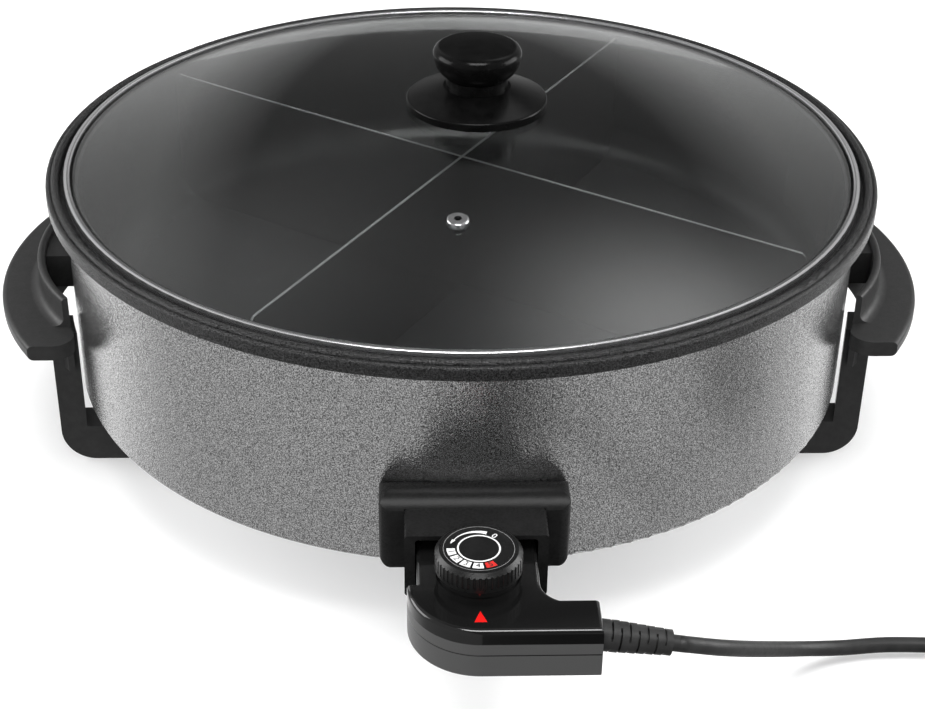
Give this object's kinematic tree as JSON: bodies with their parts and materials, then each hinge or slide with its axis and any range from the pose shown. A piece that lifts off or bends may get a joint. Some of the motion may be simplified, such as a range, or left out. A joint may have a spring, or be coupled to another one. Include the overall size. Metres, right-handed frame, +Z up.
{
  "type": "electric grill pan",
  "caption": "Round electric party pan with lift-off domed glass lid, cross divider, side handles with legs and a plug-in dial heat controller on a mains cord.",
  "frame": {"origin": "on the table, at the pan's axis", "axes": "+Z up along the pan's axis, -Y to the front where the heat controller plugs in, +X to the right"},
  "size_m": [0.657, 0.5005, 0.2066],
  "materials": {
    "nonstick": "dark non-stick coating with a sand-textured rim",
    "hammer_paint": "grey fine-hammered paint",
    "sheet_steel": "bare zinc-coated sheet",
    "bright_steel": "polished stainless",
    "element_steel": "heat-dulled tube",
    "brass": "bright",
    "ceramic": "matt white ceramic",
    "aluminium": "plain",
    "black_moulding": "satin black heat-proof moulding",
    "gloss_black": "glossy black moulding",
    "glass": "clear tempered glass",
    "silicone": "soft black washer",
    "red_lens": "clear red",
    "divider_coat": "coated sheet with bare bright edges",
    "cord_rubber": "satin black cord sheath"
  },
  "bodies": {
    "base": {"cooking_pan": "nonstick", "outer_shell": "hammer_paint", "base_plate": "sheet_steel", "base_screws": "sheet_steel", "heating_element": "element_steel", "contact_pins": "brass", "terminal_block": "ceramic", "probe_sleeve": "aluminium", "socket_guard": "black_moulding", "socket_shroud": "black_moulding", "guard_screws": "sheet_steel", "handle_left": "black_moulding", "handle_right": "black_moulding", "handle_screws": "sheet_steel"},
    "lid": {"lid_glass": "glass", "lid_ring": "bright_steel", "vent_eyelet": "bright_steel", "knob_disc": "black_moulding", "lid_knob": "black_moulding", "knob_seal": "silicone", "knob_washer": "bright_steel", "knob_screw": "bright_steel"},
    "divider": {"divider_first": "divider_coat", "divider_second": "divider_coat"},
    "controller": {"controller_cover": "gloss_black", "controller_base": "gloss_black", "controller_screws": "sheet_steel", "temperature_probe": "bright_steel", "contact_sleeves": "brass", "thermostat_unit": "ceramic", "pilot_lens": "red_lens", "strain_relief": "cord_rubber", "cord_lead": "cord_rubber", "cord_coil": "cord_rubber", "cord_tie": "silicone", "plug_body": "cord_rubber", "plug_pins": "brass"},
    "dial": {"dial_grip": "black_moulding", "dial_face": "gloss_black", "dial_spindle": "sheet_steel"}
  },
  "joints": [
    {"name": "lid_lift", "type": "slide", "parent": "base", "child": "lid", "axis": [0, 0, 1], "range_m": [0, 0.3]},
    {"name": "divider_lift", "type": "slide", "parent": "base", "child": "divider", "axis": [0, 0, 1], "range_m": [0, 0.135]},
    {"name": "controller_pull", "type": "slide", "parent": "base", "child": "controller", "axis": [0, -1, 0], "range_m": [0, 0.09]},
    {"name": "dial_turn", "type": "hinge", "parent": "controller", "child": "dial", "pos_m": [0, -0.257, 0.08], "axis": [0, 0, 1], "range_deg": [-25, 210]}
  ],
  "couplings": [
    {"joint": "divider_lift", "follows": "lid_lift", "ratio": 0.45}
  ]
}
